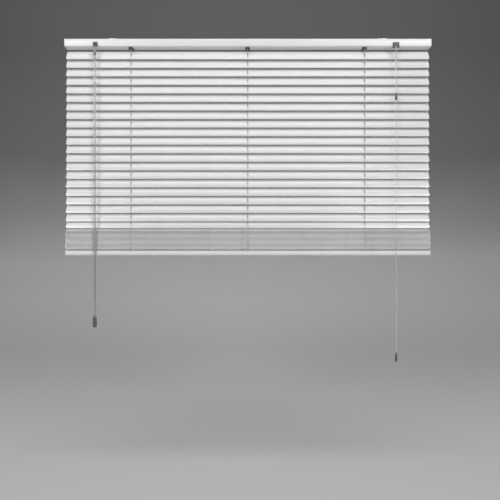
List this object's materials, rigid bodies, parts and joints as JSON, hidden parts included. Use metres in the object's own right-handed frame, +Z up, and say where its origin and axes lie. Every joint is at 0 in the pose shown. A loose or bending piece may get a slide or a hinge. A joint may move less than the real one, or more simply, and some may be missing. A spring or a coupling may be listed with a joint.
{
  "type": "venetian blind",
  "caption": "Partly raised white aluminium venetian blind with headrail, tilting slats, gathered stack, bottom rail, tilt wand and pull cord.",
  "frame": {"origin": "middle of the ceiling plane that the two top brackets are screwed to, so the blind hangs below z = 0", "axes": "+X along the slats, to the right as seen from the room; -Y towards the room; +Z up"},
  "size_m": [0.9, 0.0357, 0.7916],
  "materials": {
    "rail_paint": "white stove-enamelled roll-formed steel, satin",
    "slat_paint": "white coil-coated aluminium strip, satin",
    "white_plastic": "moulded white plastic",
    "zinc_steel": "zinc-plated steel",
    "hook_steel": "bright steel wire",
    "grey_plastic": "moulded grey plastic",
    "clear_acrylic": "smoke-clear acrylic, glossy",
    "roller_brass": "knurled brass",
    "cord": "braided polyester cord, off-white",
    "ladder_cord": "twisted polyester ladder thread, pale grey"
  },
  "bodies": {
    "headrail": {"headrail": "rail_paint", "end_cap_left": "white_plastic", "end_cap_right": "white_plastic", "bracket_left": "zinc_steel", "bracket_right": "zinc_steel", "tilter_housing": "grey_plastic", "cord_lock_body": "grey_plastic"},
    "tilt_rod": {"tilt_rod": "zinc_steel", "tilter_gear": "white_plastic"},
    "tilter_worm": {"tilter_worm": "zinc_steel"},
    "wand_sleeve": {"wand_sleeve": "clear_acrylic"},
    "wand": {"wand_hook": "hook_steel", "wand": "clear_acrylic", "wand_grip": "grey_plastic"},
    "cord_lock_roller": {"cord_lock_roller": "roller_brass"},
    "bottom_rail": {"bottom_rail": "rail_paint", "slat_stack": "slat_paint"},
    "pull_cord": {"pull_cord_upper": "cord", "pull_cord_lower": "cord", "cord_connector": "grey_plastic", "cord_tassel": "grey_plastic"},
    "ladder_step_03": {"ladder_step_03": "ladder_cord"},
    "ladder_step_04": {"ladder_step_04": "ladder_cord"},
    "ladder_step_05": {"ladder_step_05": "ladder_cord"},
    "ladder_step_06": {"ladder_step_06": "ladder_cord"},
    "ladder_step_07": {"ladder_step_07": "ladder_cord"},
    "ladder_step_08": {"ladder_step_08": "ladder_cord"},
    "ladder_step_09": {"ladder_step_09": "ladder_cord"},
    "ladder_step_10": {"ladder_step_10": "ladder_cord"},
    "ladder_step_11": {"ladder_step_11": "ladder_cord"},
    "ladder_step_12": {"ladder_step_12": "ladder_cord"},
    "ladder_step_13": {"ladder_step_13": "ladder_cord"},
    "ladder_step_14": {"ladder_step_14": "ladder_cord"},
    "ladder_step_15": {"ladder_step_15": "ladder_cord"},
    "ladder_step_16": {"ladder_step_16": "ladder_cord"},
    "ladder_step_17": {"ladder_step_17": "ladder_cord"},
    "ladder_step_18": {"ladder_step_18": "ladder_cord"},
    "ladder_step_19": {"ladder_step_19": "ladder_cord"},
    "ladder_step_20": {"ladder_step_20": "ladder_cord"},
    "slat_01": {"slat_01": "slat_paint"},
    "slat_02": {"slat_02": "slat_paint"},
    "slat_03": {"slat_03": "slat_paint"},
    "slat_04": {"slat_04": "slat_paint"},
    "slat_05": {"slat_05": "slat_paint"},
    "slat_06": {"slat_06": "slat_paint"},
    "slat_07": {"slat_07": "slat_paint"},
    "slat_08": {"slat_08": "slat_paint"},
    "slat_09": {"slat_09": "slat_paint"},
    "slat_10": {"slat_10": "slat_paint"},
    "slat_11": {"slat_11": "slat_paint"},
    "slat_12": {"slat_12": "slat_paint"},
    "slat_13": {"slat_13": "slat_paint"},
    "slat_14": {"slat_14": "slat_paint"},
    "slat_15": {"slat_15": "slat_paint"},
    "slat_16": {"slat_16": "slat_paint"},
    "slat_17": {"slat_17": "slat_paint"},
    "slat_18": {"slat_18": "slat_paint"},
    "slat_19": {"slat_19": "slat_paint"},
    "slat_20": {"slat_20": "slat_paint"},
    "slat_21": {"slat_21": "slat_paint"}
  },
  "joints": [
    {"name": "lift", "type": "slide", "parent": "headrail", "child": "bottom_rail", "axis": [0, 0, 1], "range_m": [0, 0.3527]},
    {"name": "tilt", "type": "hinge", "parent": "headrail", "child": "tilt_rod", "pos_m": [0, 0.002, -0.0125], "axis": [-1, 0, 0], "range_deg": [0, 200]},
    {"name": "wand_swing", "type": "hinge", "parent": "headrail", "child": "wand_sleeve", "pos_m": [-0.3735, -0.0185, -0.02004], "axis": [-1, 0, 0], "range_deg": [0, 45]},
    {"name": "cord_release", "type": "slide", "parent": "headrail", "child": "cord_lock_roller", "axis": [0, 0.4997, 0.8662], "range_m": [0, 0.003]},
    {"name": "worm_turn", "type": "hinge", "parent": "headrail", "child": "tilter_worm", "pos_m": [-0.3735, -0.00276, -0.00683], "axis": [0, -0.766, -0.6428], "range_deg": [0, 2400]},
    {"name": "wand_turn", "type": "hinge", "parent": "wand_sleeve", "child": "wand", "pos_m": [-0.3735, -0.0185, -0.02004], "axis": [0, 0, -1], "range_deg": [0, 2400]},
    {"name": "cord_pull", "type": "slide", "parent": "headrail", "child": "pull_cord", "axis": [0, 0, -1], "range_m": [0, 0.3527], "deforming": ["pull_cord_upper"]},
    {"name": "lift_03", "type": "slide", "parent": "headrail", "child": "ladder_step_03", "axis": [0, 0, 1], "range_m": [0, 0.0188], "deforming": ["ladder_step_03"]},
    {"name": "lift_04", "type": "slide", "parent": "headrail", "child": "ladder_step_04", "axis": [0, 0, 1], "range_m": [0, 0.0376], "deforming": ["ladder_step_04"]},
    {"name": "lift_05", "type": "slide", "parent": "headrail", "child": "ladder_step_05", "axis": [0, 0, 1], "range_m": [0, 0.0564], "deforming": ["ladder_step_05"]},
    {"name": "lift_06", "type": "slide", "parent": "headrail", "child": "ladder_step_06", "axis": [0, 0, 1], "range_m": [0, 0.0752], "deforming": ["ladder_step_06"]},
    {"name": "lift_07", "type": "slide", "parent": "headrail", "child": "ladder_step_07", "axis": [0, 0, 1], "range_m": [0, 0.094], "deforming": ["ladder_step_07"]},
    {"name": "lift_08", "type": "slide", "parent": "headrail", "child": "ladder_step_08", "axis": [0, 0, 1], "range_m": [0, 0.1128], "deforming": ["ladder_step_08"]},
    {"name": "lift_09", "type": "slide", "parent": "headrail", "child": "ladder_step_09", "axis": [0, 0, 1], "range_m": [0, 0.1316], "deforming": ["ladder_step_09"]},
    {"name": "lift_10", "type": "slide", "parent": "headrail", "child": "ladder_step_10", "axis": [0, 0, 1], "range_m": [0, 0.1504], "deforming": ["ladder_step_10"]},
    {"name": "lift_11", "type": "slide", "parent": "headrail", "child": "ladder_step_11", "axis": [0, 0, 1], "range_m": [0, 0.1692], "deforming": ["ladder_step_11"]},
    {"name": "lift_12", "type": "slide", "parent": "headrail", "child": "ladder_step_12", "axis": [0, 0, 1], "range_m": [0, 0.188], "deforming": ["ladder_step_12"]},
    {"name": "lift_13", "type": "slide", "parent": "headrail", "child": "ladder_step_13", "axis": [0, 0, 1], "range_m": [0, 0.2068], "deforming": ["ladder_step_13"]},
    {"name": "lift_14", "type": "slide", "parent": "headrail", "child": "ladder_step_14", "axis": [0, 0, 1], "range_m": [0, 0.2256], "deforming": ["ladder_step_14"]},
    {"name": "lift_15", "type": "slide", "parent": "headrail", "child": "ladder_step_15", "axis": [0, 0, 1], "range_m": [0, 0.2444], "deforming": ["ladder_step_15"]},
    {"name": "lift_16", "type": "slide", "parent": "headrail", "child": "ladder_step_16", "axis": [0, 0, 1], "range_m": [0, 0.2632], "deforming": ["ladder_step_16"]},
    {"name": "lift_17", "type": "slide", "parent": "headrail", "child": "ladder_step_17", "axis": [0, 0, 1], "range_m": [0, 0.282], "deforming": ["ladder_step_17"]},
    {"name": "lift_18", "type": "slide", "parent": "headrail", "child": "ladder_step_18", "axis": [0, 0, 1], "range_m": [0, 0.3008], "deforming": ["ladder_step_18"]},
    {"name": "lift_19", "type": "slide", "parent": "headrail", "child": "ladder_step_19", "axis": [0, 0, 1], "range_m": [0, 0.3196], "deforming": ["ladder_step_19"]},
    {"name": "lift_20", "type": "slide", "parent": "headrail", "child": "ladder_step_20", "axis": [0, 0, 1], "range_m": [0, 0.3384], "deforming": ["ladder_step_20"]},
    {"name": "tilt_01", "type": "hinge", "parent": "headrail", "child": "slat_01", "pos_m": [0, 0, -0.0381], "axis": [-1, 0, 0], "range_deg": [0, 130]},
    {"name": "tilt_02", "type": "hinge", "parent": "headrail", "child": "slat_02", "pos_m": [0, 0, -0.0591], "axis": [-1, 0, 0], "range_deg": [0, 130]},
    {"name": "tilt_03", "type": "hinge", "parent": "ladder_step_03", "child": "slat_03", "pos_m": [0, 0, -0.0801], "axis": [-1, 0, 0], "range_deg": [0, 130]},
    {"name": "tilt_04", "type": "hinge", "parent": "ladder_step_04", "child": "slat_04", "pos_m": [0, 0, -0.1011], "axis": [-1, 0, 0], "range_deg": [0, 130]},
    {"name": "tilt_05", "type": "hinge", "parent": "ladder_step_05", "child": "slat_05", "pos_m": [0, 0, -0.1221], "axis": [-1, 0, 0], "range_deg": [0, 130]},
    {"name": "tilt_06", "type": "hinge", "parent": "ladder_step_06", "child": "slat_06", "pos_m": [0, 0, -0.1431], "axis": [-1, 0, 0], "range_deg": [0, 130]},
    {"name": "tilt_07", "type": "hinge", "parent": "ladder_step_07", "child": "slat_07", "pos_m": [0, 0, -0.1641], "axis": [-1, 0, 0], "range_deg": [0, 130]},
    {"name": "tilt_08", "type": "hinge", "parent": "ladder_step_08", "child": "slat_08", "pos_m": [0, 0, -0.1851], "axis": [-1, 0, 0], "range_deg": [0, 130]},
    {"name": "tilt_09", "type": "hinge", "parent": "ladder_step_09", "child": "slat_09", "pos_m": [0, 0, -0.2061], "axis": [-1, 0, 0], "range_deg": [0, 130]},
    {"name": "tilt_10", "type": "hinge", "parent": "ladder_step_10", "child": "slat_10", "pos_m": [0, 0, -0.2271], "axis": [-1, 0, 0], "range_deg": [0, 130]},
    {"name": "tilt_11", "type": "hinge", "parent": "ladder_step_11", "child": "slat_11", "pos_m": [0, 0, -0.2481], "axis": [-1, 0, 0], "range_deg": [0, 130]},
    {"name": "tilt_12", "type": "hinge", "parent": "ladder_step_12", "child": "slat_12", "pos_m": [0, 0, -0.2691], "axis": [-1, 0, 0], "range_deg": [0, 130]},
    {"name": "tilt_13", "type": "hinge", "parent": "ladder_step_13", "child": "slat_13", "pos_m": [0, 0, -0.2901], "axis": [-1, 0, 0], "range_deg": [0, 130]},
    {"name": "tilt_14", "type": "hinge", "parent": "ladder_step_14", "child": "slat_14", "pos_m": [0, 0, -0.3111], "axis": [-1, 0, 0], "range_deg": [0, 130]},
    {"name": "tilt_15", "type": "hinge", "parent": "ladder_step_15", "child": "slat_15", "pos_m": [0, 0, -0.3321], "axis": [-1, 0, 0], "range_deg": [0, 130]},
    {"name": "tilt_16", "type": "hinge", "parent": "ladder_step_16", "child": "slat_16", "pos_m": [0, 0, -0.3531], "axis": [-1, 0, 0], "range_deg": [0, 130]},
    {"name": "tilt_17", "type": "hinge", "parent": "ladder_step_17", "child": "slat_17", "pos_m": [0, 0, -0.3741], "axis": [-1, 0, 0], "range_deg": [0, 130]},
    {"name": "tilt_18", "type": "hinge", "parent": "ladder_step_18", "child": "slat_18", "pos_m": [0, 0, -0.3951], "axis": [-1, 0, 0], "range_deg": [0, 130]},
    {"name": "tilt_19", "type": "hinge", "parent": "ladder_step_19", "child": "slat_19", "pos_m": [0, 0, -0.4161], "axis": [-1, 0, 0], "range_deg": [0, 130]},
    {"name": "tilt_20", "type": "hinge", "parent": "ladder_step_20", "child": "slat_20", "pos_m": [0, 0, -0.4371], "axis": [-1, 0, 0], "range_deg": [0, 130]},
    {"name": "tilt_21", "type": "hinge", "parent": "bottom_rail", "child": "slat_21", "pos_m": [0, 0, -0.4536], "axis": [-1, 0, 0], "range_deg": [0, 130]}
  ],
  "couplings": [
    {"joint": "worm_turn", "follows": "tilt", "ratio": 12},
    {"joint": "wand_turn", "follows": "tilt", "ratio": 12},
    {"joint": "cord_pull", "follows": "lift", "ratio": 1},
    {"joint": "lift_03", "follows": "lift", "ratio": 0.053303},
    {"joint": "lift_04", "follows": "lift", "ratio": 0.10661},
    {"joint": "lift_05", "follows": "lift", "ratio": 0.15991},
    {"joint": "lift_06", "follows": "lift", "ratio": 0.21321},
    {"joint": "lift_07", "follows": "lift", "ratio": 0.26652},
    {"joint": "lift_08", "follows": "lift", "ratio": 0.31982},
    {"joint": "lift_09", "follows": "lift", "ratio": 0.37312},
    {"joint": "lift_10", "follows": "lift", "ratio": 0.42642},
    {"joint": "lift_11", "follows": "lift", "ratio": 0.47973},
    {"joint": "lift_12", "follows": "lift", "ratio": 0.53303},
    {"joint": "lift_13", "follows": "lift", "ratio": 0.58633},
    {"joint": "lift_14", "follows": "lift", "ratio": 0.63964},
    {"joint": "lift_15", "follows": "lift", "ratio": 0.69294},
    {"joint": "lift_16", "follows": "lift", "ratio": 0.74624},
    {"joint": "lift_17", "follows": "lift", "ratio": 0.79955},
    {"joint": "lift_18", "follows": "lift", "ratio": 0.85285},
    {"joint": "lift_19", "follows": "lift", "ratio": 0.90615},
    {"joint": "lift_20", "follows": "lift", "ratio": 0.95946},
    {"joint": "tilt_01", "follows": "tilt", "ratio": 0.65},
    {"joint": "tilt_02", "follows": "tilt", "ratio": 0.65},
    {"joint": "tilt_03", "follows": "tilt", "ratio": 0.65},
    {"joint": "tilt_04", "follows": "tilt", "ratio": 0.65},
    {"joint": "tilt_05", "follows": "tilt", "ratio": 0.65},
    {"joint": "tilt_06", "follows": "tilt", "ratio": 0.65},
    {"joint": "tilt_07", "follows": "tilt", "ratio": 0.65},
    {"joint": "tilt_08", "follows": "tilt", "ratio": 0.65},
    {"joint": "tilt_09", "follows": "tilt", "ratio": 0.65},
    {"joint": "tilt_10", "follows": "tilt", "ratio": 0.65},
    {"joint": "tilt_11", "follows": "tilt", "ratio": 0.65},
    {"joint": "tilt_12", "follows": "tilt", "ratio": 0.65},
    {"joint": "tilt_13", "follows": "tilt", "ratio": 0.65},
    {"joint": "tilt_14", "follows": "tilt", "ratio": 0.65},
    {"joint": "tilt_15", "follows": "tilt", "ratio": 0.65},
    {"joint": "tilt_16", "follows": "tilt", "ratio": 0.65},
    {"joint": "tilt_17", "follows": "tilt", "ratio": 0.65},
    {"joint": "tilt_18", "follows": "tilt", "ratio": 0.65},
    {"joint": "tilt_19", "follows": "tilt", "ratio": 0.65},
    {"joint": "tilt_20", "follows": "tilt", "ratio": 0.65},
    {"joint": "tilt_21", "follows": "tilt", "ratio": 0.65}
  ]
}
